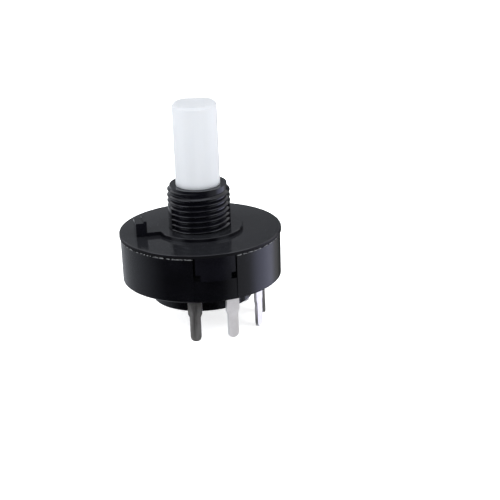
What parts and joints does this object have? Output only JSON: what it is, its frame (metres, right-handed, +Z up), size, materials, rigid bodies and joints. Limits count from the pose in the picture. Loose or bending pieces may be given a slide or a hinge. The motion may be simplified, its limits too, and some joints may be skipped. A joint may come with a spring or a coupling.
{
  "type": "rotary switch",
  "caption": "Panel-mount rotary switch: D shaft in a threaded bushing, round black body with a locating key, solder blades standing below.",
  "frame": {"origin": "on the shaft axis, in the plane of the panel seat, which is the top face of the collar round the bushing", "axes": "+Z up the shaft towards the knob; -X towards the locating key, within a few degrees; the common terminal's blade is on the -Y side"},
  "size_m": [0.0232, 0.0232, 0.0325],
  "materials": {
    "black_cover": "glossy black moulding",
    "black_base": "glossy black moulding",
    "white_nylon": "white nylon, satin, slightly translucent",
    "natural_acetal": "natural acetal, satin",
    "bronze": "phosphor bronze, bright",
    "spring_steel": "drawn spring wire",
    "ball_steel": "polished bearing steel",
    "tinned_brass": "tin-plated brass, dull silver",
    "contact_silver": "silver-faced copper alloy"
  },
  "bodies": {
    "housing": {"front_housing": "black_cover", "rear_base": "black_base", "common_terminal": "tinned_brass", "throw_terminal_1": "tinned_brass", "throw_terminal_2": "tinned_brass", "throw_terminal_3": "tinned_brass", "throw_terminal_4": "tinned_brass", "throw_terminal_5": "tinned_brass", "throw_terminal_6": "tinned_brass", "contact_button_1": "contact_silver", "contact_button_2": "contact_silver", "contact_button_3": "contact_silver", "contact_button_4": "contact_silver", "contact_button_5": "contact_silver", "contact_button_6": "contact_silver"},
    "rotor": {"shaft": "white_nylon", "rotor": "natural_acetal", "bridge_contact": "bronze", "contact_spring": "spring_steel", "detent_ball_1": "ball_steel", "detent_ball_2": "ball_steel", "detent_spring_1": "spring_steel", "detent_spring_2": "spring_steel"}
  },
  "joints": [
    {"name": "shaft_turn", "type": "hinge", "parent": "housing", "child": "rotor", "pos_m": [0, 0, 0], "axis": [0, 0, 1], "range_deg": [-72, 108]}
  ]
}
